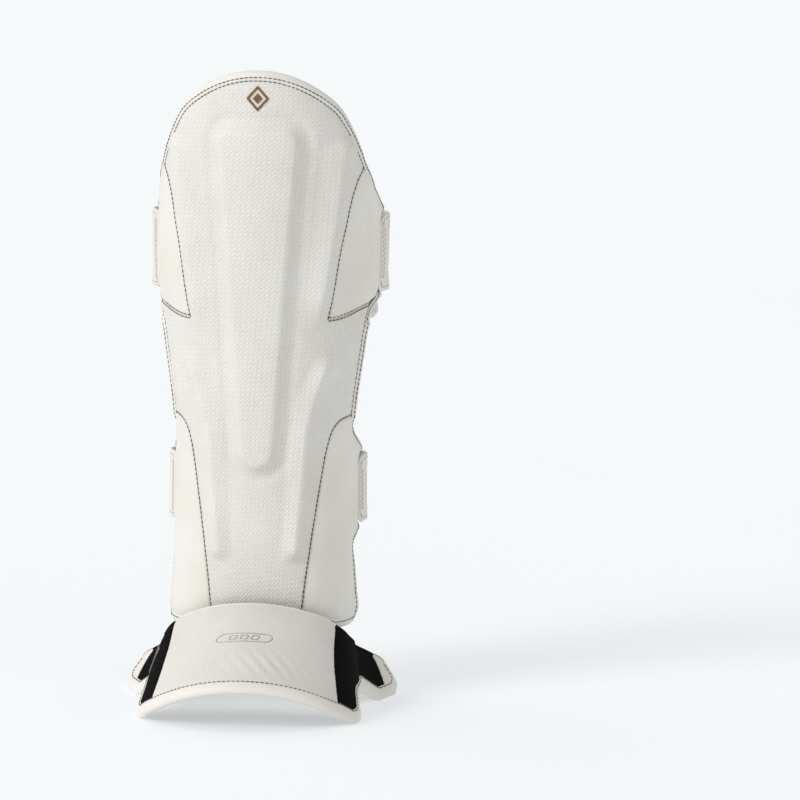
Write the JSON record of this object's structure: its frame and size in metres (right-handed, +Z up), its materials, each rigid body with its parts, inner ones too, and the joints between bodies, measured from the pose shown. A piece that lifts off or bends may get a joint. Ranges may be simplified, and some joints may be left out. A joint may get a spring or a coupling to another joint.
{
  "type": "shin guard",
  "caption": "Padded shin and instep guard with raised tibia bar, hinged instep flap, and hook-and-loop calf straps.",
  "frame": {"origin": "on the leg's axis, in the plane of the surface the guard stands on, under the ankle opening", "axes": "+Z up the leg towards the knee, -Y towards the front of the shin and the toes, +X to a facing viewer's right"},
  "size_m": [0.197, 0.2357, 0.4571],
  "materials": {
    "panel_leather": "satin, finely embossed",
    "cover_leather": "satin, smooth",
    "binding_leather": "satin, folded tape",
    "bar_foam": "matt closed-cell foam",
    "impact_foam": "matt closed-cell foam",
    "comfort_foam": "matt soft foam",
    "lining_fabric": "brushed lining",
    "badge_foil": "satin bronze",
    "loop_fabric": "looped pile",
    "hook_tape": "fine hooks",
    "strap_leather": "satin",
    "elastic": "ribbed elastic webbing",
    "black_fabric": "stretch fabric",
    "label_fabric": "woven"
  },
  "bodies": {
    "shin": {"shin_center_panel": "panel_leather", "shin_top_binding": "binding_leather", "shin_bottom_binding": "binding_leather", "shin_left_binding": "binding_leather", "shin_right_binding": "binding_leather", "tibia_bar_foam": "bar_foam", "impact_foam": "impact_foam", "comfort_foam": "comfort_foam", "shin_lining": "lining_fabric", "shin_badge": "badge_foil", "ankle_gusset": "black_fabric", "upper_left_cover": "cover_leather", "upper_left_rib_foam": "bar_foam", "lower_left_cover": "cover_leather", "lower_left_rib_foam": "bar_foam", "upper_right_cover": "cover_leather", "upper_right_rib_foam": "bar_foam", "lower_right_cover": "cover_leather", "lower_right_rib_foam": "bar_foam", "upper_loop_patch": "loop_fabric", "upper_strap_root": "elastic", "upper_strap_anchor": "strap_leather", "lower_loop_patch": "loop_fabric", "lower_strap_root": "elastic", "lower_strap_anchor": "strap_leather"},
    "instep": {"instep_cover": "panel_leather", "left_side_panel": "black_fabric", "right_side_panel": "black_fabric", "left_wing_patch": "cover_leather", "right_wing_patch": "cover_leather", "instep_foam": "impact_foam", "instep_lining": "lining_fabric", "instep_hem_binding": "binding_leather", "left_wing_binding": "binding_leather", "right_wing_binding": "binding_leather", "heel_strap": "elastic", "sole_strap": "elastic", "foot_label": "label_fabric"},
    "upper_strap": {"upper_strap_band": "strap_leather", "upper_hook_patch": "hook_tape", "upper_pull_tab": "strap_leather"},
    "lower_strap": {"lower_strap_band": "strap_leather", "lower_hook_patch": "hook_tape", "lower_pull_tab": "strap_leather"}
  },
  "joints": [
    {"name": "instep_flex", "type": "hinge", "parent": "shin", "child": "instep", "pos_m": [0, -0.044, 0.056], "axis": [1, 0, 0], "range_deg": [-15, 20], "deforming": ["ankle_gusset"]},
    {"name": "upper_strap_open", "type": "hinge", "parent": "shin", "child": "upper_strap", "pos_m": [-0.06749, 0.06378, 0.317], "axis": [0, 0, 1], "range_deg": [0, 110]},
    {"name": "lower_strap_open", "type": "hinge", "parent": "shin", "child": "lower_strap", "pos_m": [-0.05677, 0.06057, 0.1465], "axis": [0, 0, 1], "range_deg": [0, 110]}
  ]
}
